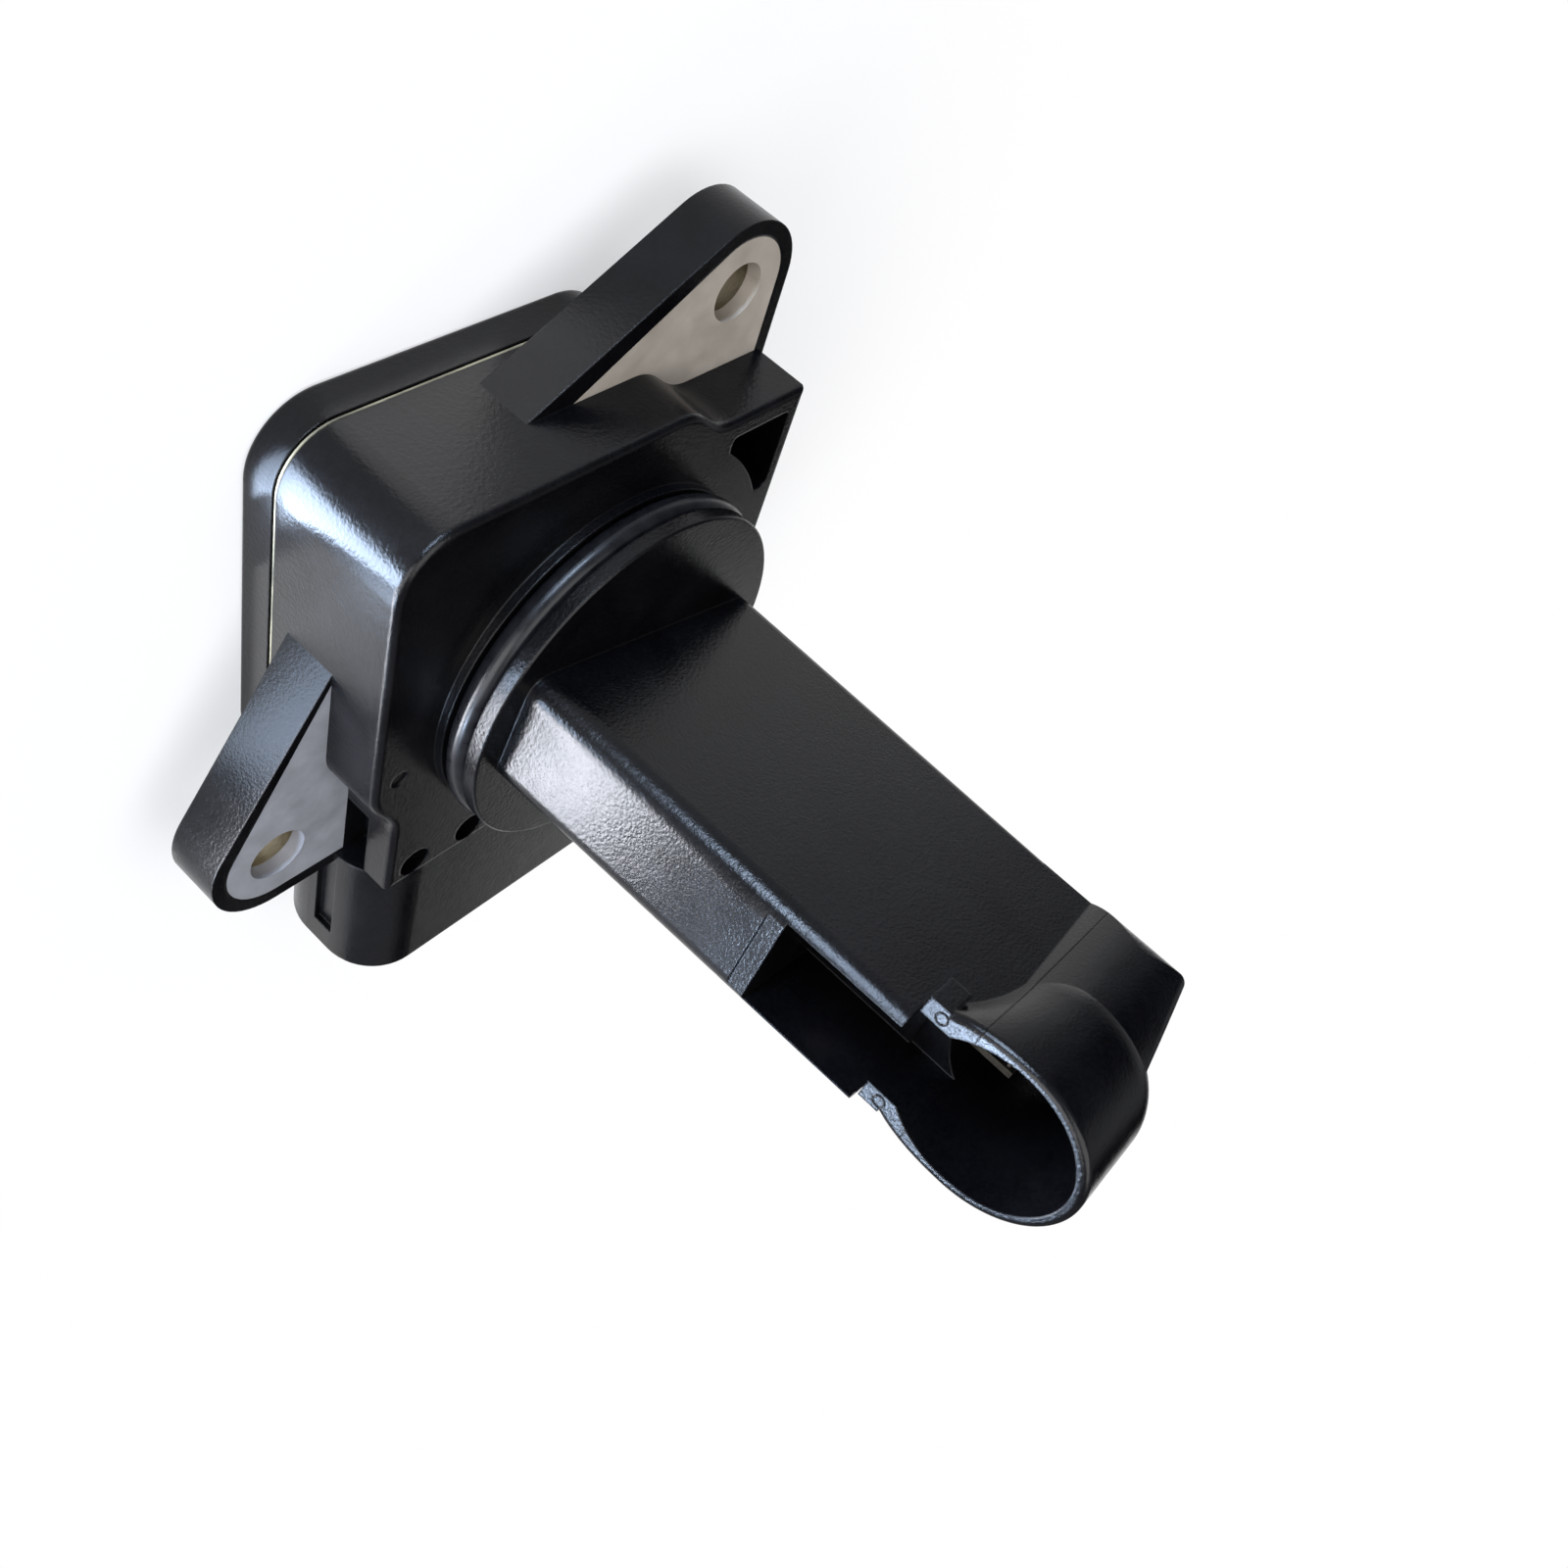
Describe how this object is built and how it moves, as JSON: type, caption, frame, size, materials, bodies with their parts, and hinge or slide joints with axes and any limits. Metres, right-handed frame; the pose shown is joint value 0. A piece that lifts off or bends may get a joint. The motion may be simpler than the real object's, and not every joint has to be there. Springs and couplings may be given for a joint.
{
  "type": "mass airflow sensor",
  "caption": "Plug-in mass airflow sensor: square electronics box with two screw ears, sealed round spigot, flat probe with a window and a round-mouthed bypass duct at its tip.",
  "frame": {"origin": "on the spigot's axis, level with the ears' mounting faces", "axes": "+Z along the probe to its tip, +Y away from the connector socket, +X towards the box's narrow side; the lid faces -Z"},
  "size_m": [0.0454, 0.0565, 0.0632],
  "materials": {
    "housing_plastic": "moulded, half gloss",
    "lid_plastic": "moulded, half gloss",
    "tip_plastic": "moulded, half gloss",
    "sealant": "cured bead",
    "plate_steel": "stamped",
    "sleeve_steel": "turned, zinc plated",
    "seal_rubber": "moulded",
    "tinned_bronze": "tinned",
    "element_glaze": "glazed winding",
    "bead_resin": "dipped",
    "base_aluminium": "rolled",
    "board_ceramic": "printed",
    "chip_resin": "moulded",
    "capacitor_ceramic": "fired",
    "resistor_ceramic": "glazed",
    "ribbon_aluminium": "drawn"
  },
  "bodies": {
    "root": {"housing": "housing_plastic", "duct_tip": "tip_plastic", "lid": "lid_plastic", "lid_sealant": "sealant", "upper_ear_plate": "plate_steel", "lower_ear_plate": "plate_steel", "screw_sleeves": "sleeve_steel", "o_ring": "seal_rubber", "probe_leads": "tinned_bronze", "hot_element": "element_glaze", "compensation_element": "element_glaze", "bead_leads": "tinned_bronze", "air_temperature_bead": "bead_resin", "base_plate": "base_aluminium", "circuit_board": "board_ceramic", "signal_chip": "chip_resin", "chip_capacitors": "capacitor_ceramic", "chip_resistors": "resistor_ceramic", "bond_ribbons": "ribbon_aluminium", "connector_blades": "tinned_bronze"}
  },
  "joints": []
}
